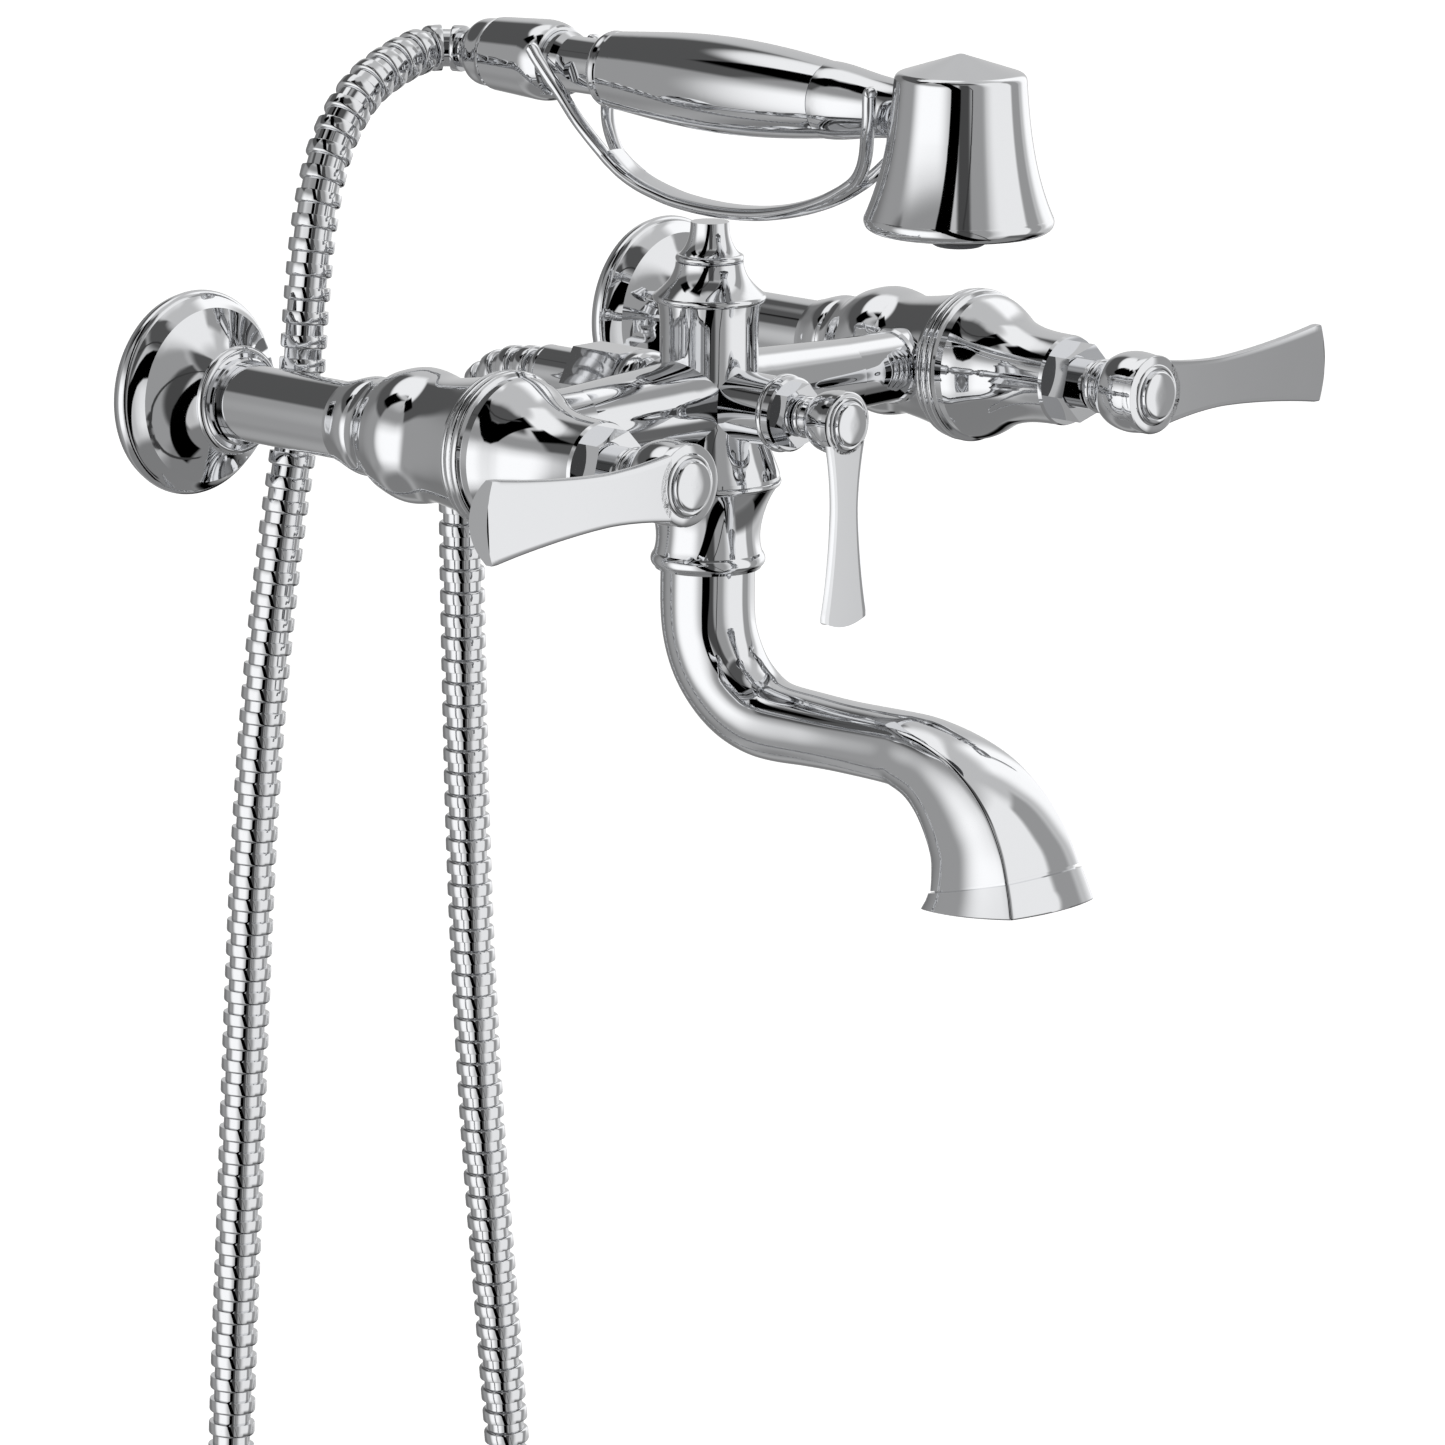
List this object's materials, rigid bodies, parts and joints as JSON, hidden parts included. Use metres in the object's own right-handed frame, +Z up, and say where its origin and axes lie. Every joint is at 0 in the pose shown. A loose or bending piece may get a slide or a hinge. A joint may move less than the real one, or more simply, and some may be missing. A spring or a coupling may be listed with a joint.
{
  "type": "wall mounted bath faucet",
  "caption": "Exposed wall mounted tub filler with lever handles, swivel spout, lever diverter and a hand shower on a metal hose in a fork cradle.",
  "frame": {"origin": "on the finished wall, midway between the centres of the two water inlets", "axes": "+X along the wall to the cold inlet side, +Y into the wall, +Z up"},
  "size_m": [0.3642, 0.2625, 0.7543],
  "materials": {
    "polished_chrome": "polished chrome plate over cast and turned brass",
    "hose_metal": "chromed interlocked metal strip",
    "raw_brass": "machined brass",
    "steel_screw": "plain stainless steel",
    "ceramic_disc": "lapped alumina ceramic",
    "seal_rubber": "black nitrile rubber",
    "white_plastic": "moulded acetal",
    "dark_plastic": "moulded dark grey spray face"
  },
  "bodies": {
    "root": {"bonnet_left": "polished_chrome", "bonnet_right": "polished_chrome", "cartridge_left": "raw_brass", "cartridge_right": "raw_brass", "center_body": "polished_chrome", "check_valve": "white_plastic", "column_cap": "polished_chrome", "cradle": "polished_chrome", "cradle_post": "polished_chrome", "diverter_bonnet": "polished_chrome", "diverter_cartridge": "raw_brass", "diverter_nut": "polished_chrome", "escutcheon_left": "polished_chrome", "escutcheon_right": "polished_chrome", "fixed_disc_left": "ceramic_disc", "fixed_disc_right": "ceramic_disc", "hose_nut": "polished_chrome", "hose_tube": "hose_metal", "hose_washer": "seal_rubber", "inlet_leg_left": "polished_chrome", "inlet_leg_right": "polished_chrome", "leg_gaskets": "seal_rubber", "lower_ferrule": "polished_chrome", "packing_nut_left": "polished_chrome", "packing_nut_right": "polished_chrome", "port_sleeve": "polished_chrome", "seat_seals": "seal_rubber", "spout_collar": "polished_chrome", "valve_body_left": "polished_chrome", "valve_body_right": "polished_chrome"},
    "lever_left_body": {"lever_left": "polished_chrome", "stem_left": "polished_chrome", "moving_disc_left": "ceramic_disc", "lever_screw_left": "steel_screw", "index_button_left": "polished_chrome"},
    "lever_right_body": {"lever_right": "polished_chrome", "stem_right": "polished_chrome", "moving_disc_right": "ceramic_disc", "lever_screw_right": "steel_screw", "index_button_right": "polished_chrome"},
    "diverter_body": {"diverter_lever": "polished_chrome", "diverter_stem": "polished_chrome", "diverter_screw": "steel_screw", "diverter_button": "polished_chrome"},
    "spout_body": {"spout": "polished_chrome", "spout_o_rings": "seal_rubber", "aerator": "white_plastic"},
    "handset_body": {"cone_nut": "polished_chrome", "swivel_nut": "polished_chrome", "upper_washer": "seal_rubber", "handset_neck": "polished_chrome", "grip_ring": "polished_chrome", "grip": "polished_chrome", "water_tube": "raw_brass", "front_ferrule": "polished_chrome", "shower_head": "polished_chrome", "spray_plate": "dark_plastic", "spray_nozzle": "dark_plastic", "spray_divider": "white_plastic"}
  },
  "joints": [
    {"name": "lever_left_turn", "type": "hinge", "parent": "root", "child": "lever_left_body", "pos_m": [-0.1016, -0.2, 0], "axis": [0, -1, 0], "range_deg": [0, 90]},
    {"name": "lever_right_turn", "type": "hinge", "parent": "root", "child": "lever_right_body", "pos_m": [0.1016, -0.2, 0], "axis": [0, 1, 0], "range_deg": [0, 90]},
    {"name": "diverter_turn", "type": "hinge", "parent": "root", "child": "diverter_body", "pos_m": [0, -0.165, 0], "axis": [0, 1, 0], "range_deg": [0, 90]},
    {"name": "spout_swivel", "type": "hinge", "parent": "root", "child": "spout_body", "pos_m": [0, -0.1194, -0.05], "axis": [0, 0, 1], "range_deg": [-80, 80]},
    {"name": "handset_lift", "type": "slide", "parent": "root", "child": "handset_body", "axis": [0, 0, 1], "range_m": [0, 0.016]}
  ]
}
